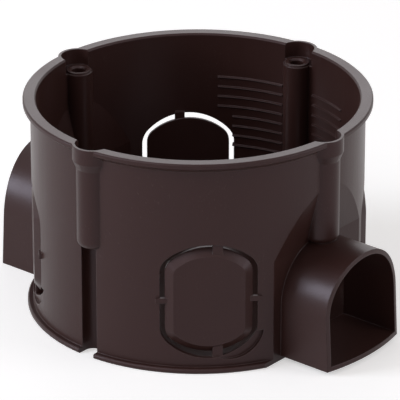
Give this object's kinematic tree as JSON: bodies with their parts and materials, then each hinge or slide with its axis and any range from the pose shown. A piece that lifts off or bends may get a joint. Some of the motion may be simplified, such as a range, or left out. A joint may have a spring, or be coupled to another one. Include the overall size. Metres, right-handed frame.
{
  "type": "flush back box",
  "caption": "Round flush back box with a lipped rim, sunk screw posts in the wall, flat knock-outs, claw ridges and arched coupling spouts.",
  "frame": {"origin": "centre of the underside, on the axis of the round wall", "axes": "+Z out of the mouth, +X along the coupling spouts towards the narrow spout"},
  "size_m": [0.0828, 0.0676, 0.0425],
  "materials": {
    "moulded_plastic": "dark brown moulded plastic, satin to semi-gloss"
  },
  "bodies": {
    "root": {"back_box": "moulded_plastic"}
  },
  "joints": []
}
